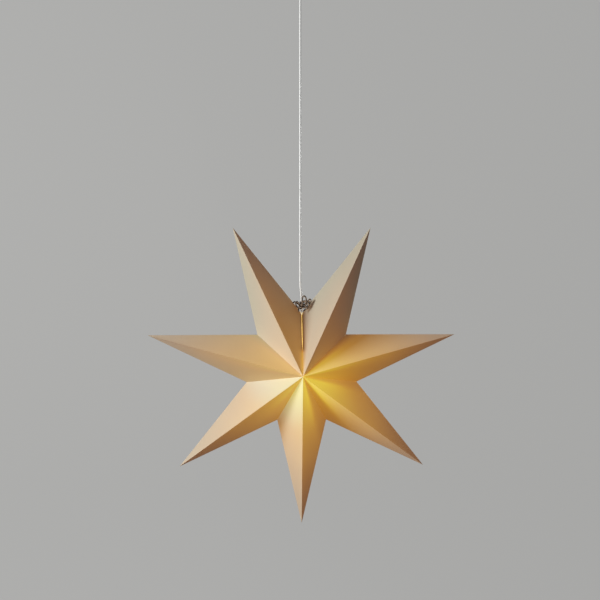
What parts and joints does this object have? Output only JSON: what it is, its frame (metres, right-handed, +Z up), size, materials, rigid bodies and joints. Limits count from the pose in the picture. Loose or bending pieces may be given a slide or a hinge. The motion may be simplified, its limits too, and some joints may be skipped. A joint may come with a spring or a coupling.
{
  "type": "hanging paper star lantern",
  "caption": "Hanging star lantern of folded card points glued round a bulb, tied at the top seam, on a pendant cord from a ceiling cup.",
  "frame": {"origin": "middle of the ceiling cup's rim, where the lamp meets the ceiling", "axes": "+Z up into the ceiling, +X to the right and -Y to the front of the star"},
  "size_m": [0.698, 0.2036, 1.252],
  "materials": {
    "paper": "matte",
    "holder_plastic": "satin",
    "insert_ceramic": "matte",
    "sleeve_brass": "satin",
    "screw_nylon": "satin",
    "frosted_glass": "frosted",
    "cup_plastic": "gloss",
    "zinc_steel": "zinc plated",
    "block_plastic": "satin",
    "terminal_brass": "satin",
    "cord_sleeve": "satin",
    "tie_string": "twisted"
  },
  "bodies": {
    "root": {"point_top_right": "paper", "point_right": "paper", "point_lower_right": "paper", "point_bottom": "paper", "point_lower_left": "paper", "point_left": "paper", "point_top_left": "paper", "lampholder_cap": "holder_plastic", "lampholder_barrel": "holder_plastic", "lampholder_insert": "insert_ceramic", "lampholder_sleeve": "sleeve_brass", "lampholder_contact": "sleeve_brass", "lampholder_screw": "screw_nylon", "bulb": "frosted_glass", "ceiling_cup": "cup_plastic", "crossbar": "zinc_steel", "cup_screw_left": "zinc_steel", "cup_screw_right": "zinc_steel", "terminal_block": "block_plastic", "terminal_screw_left": "terminal_brass", "terminal_screw_right": "terminal_brass", "cord_grip": "cup_plastic", "grip_nut": "cup_plastic", "grip_screw": "screw_nylon", "cord": "cord_sleeve", "tie_string_right": "tie_string", "tie_string_left": "tie_string"}
  },
  "joints": []
}
